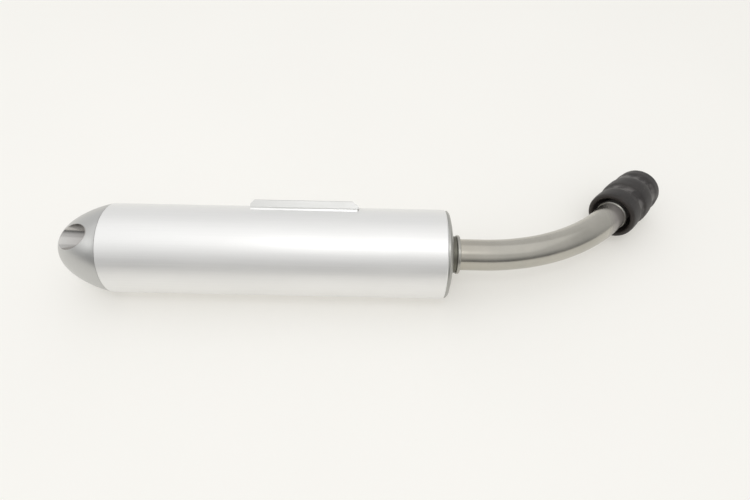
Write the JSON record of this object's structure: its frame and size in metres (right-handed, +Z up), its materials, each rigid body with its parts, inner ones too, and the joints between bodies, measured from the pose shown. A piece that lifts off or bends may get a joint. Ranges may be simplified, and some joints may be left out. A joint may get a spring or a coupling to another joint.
{
  "type": "exhaust muffler",
  "caption": "Small two-stroke silencer: round aluminium can, bullet nose with an offset outlet, bent inlet pipe with a push-on rubber coupler, and a threaded mounting rail.",
  "frame": {"origin": "centre of the bounding box's footprint, on the surface the can and the coupler's outer edge rest on", "axes": "+X along the can towards the inlet, +Z up, +Y towards the side the inlet pipe bends to"},
  "size_m": [0.5424, 0.1498, 0.076],
  "materials": {
    "can_satin": "fine satin, near white",
    "nose_machined": "machined satin",
    "sleeve_steel": "satin",
    "seal_rubber": "matte",
    "inner_aluminium": "as turned",
    "inner_steel": "as rolled",
    "steel_wool": "coarse fibre",
    "glass_fibre": "loose fibre mat",
    "rail_aluminium": "satin",
    "strip_aluminium": "satin",
    "insert_steel": "plated",
    "rivet_aluminium": "satin",
    "cap_steel": "satin grey",
    "ring_dark": "matte, heat darkened",
    "collar_steel": "satin",
    "pipe_steel": "satin, warm grey",
    "coupler_rubber": "moulded, slightly worn"
  },
  "bodies": {
    "silencer": {"can_shell": "can_satin", "nose_cap": "nose_machined", "outlet_sleeve": "sleeve_steel", "nose_o_ring": "seal_rubber", "nose_thread_ring": "inner_aluminium", "core_end_plate": "inner_steel", "perforated_core": "inner_steel", "core_ferrule": "inner_steel", "steel_wool_wrap": "steel_wool", "glass_packing": "glass_fibre", "mount_rail": "rail_aluminium", "rail_base_strip": "strip_aluminium", "rail_backing_plate": "inner_aluminium", "rail_threaded_inserts": "insert_steel", "rail_rivets": "rivet_aluminium", "inlet_cap": "cap_steel", "inlet_seal_ring": "ring_dark", "inlet_collar": "collar_steel", "inlet_pipe": "pipe_steel", "pipe_bead": "collar_steel"},
    "coupler": {"rubber_coupler": "coupler_rubber"}
  },
  "joints": [
    {"name": "coupler_slide", "type": "slide", "parent": "silencer", "child": "coupler", "axis": [0.6845, 0.7171, -0.1308], "range_m": [0, 0.03]}
  ]
}
